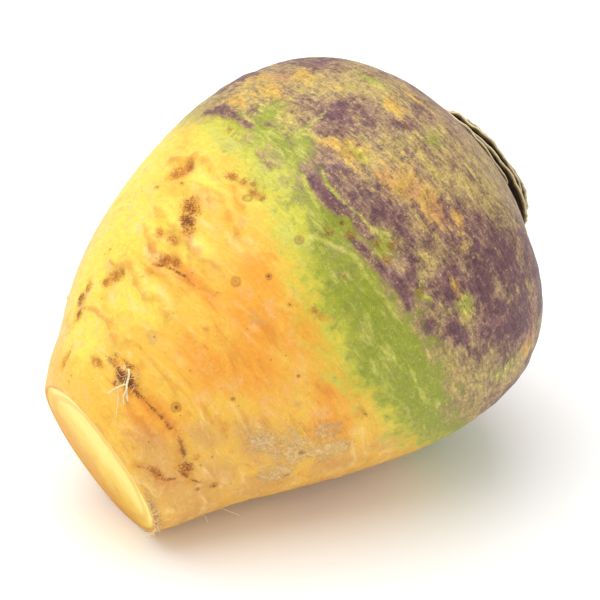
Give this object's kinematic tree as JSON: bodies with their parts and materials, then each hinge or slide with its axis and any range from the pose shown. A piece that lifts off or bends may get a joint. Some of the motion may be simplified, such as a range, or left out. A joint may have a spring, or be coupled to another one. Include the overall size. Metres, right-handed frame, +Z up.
{
  "type": "rutabaga",
  "caption": "Rutabaga root lying on its side: swollen yellow body with a purple and green shoulder, tail cut off flat, and a short neck ringed by dried leaf bases.",
  "frame": {"origin": "on the surface it rests on, under the middle of its bounding box", "axes": "+Z up from the surface, +X level towards the crown end, +Y to its left when looking towards the crown"},
  "size_m": [0.151, 0.1212, 0.1204],
  "materials": {
    "root_skin": "thin waxy vegetable skin, satin, yellow-orange turning green and mottled purple towards the crown, with corky scars; the cut tail shows moist pale yellow flesh",
    "dried_leaf_base": "dry fibrous straw-brown leaf scars, matt"
  },
  "bodies": {
    "root": {"root": "root_skin", "leaf_base_01": "dried_leaf_base", "leaf_base_02": "dried_leaf_base", "leaf_base_03": "dried_leaf_base", "leaf_base_04": "dried_leaf_base", "leaf_base_05": "dried_leaf_base", "leaf_base_06": "dried_leaf_base", "leaf_base_07": "dried_leaf_base", "leaf_base_08": "dried_leaf_base", "leaf_base_09": "dried_leaf_base", "leaf_base_10": "dried_leaf_base"}
  },
  "joints": []
}
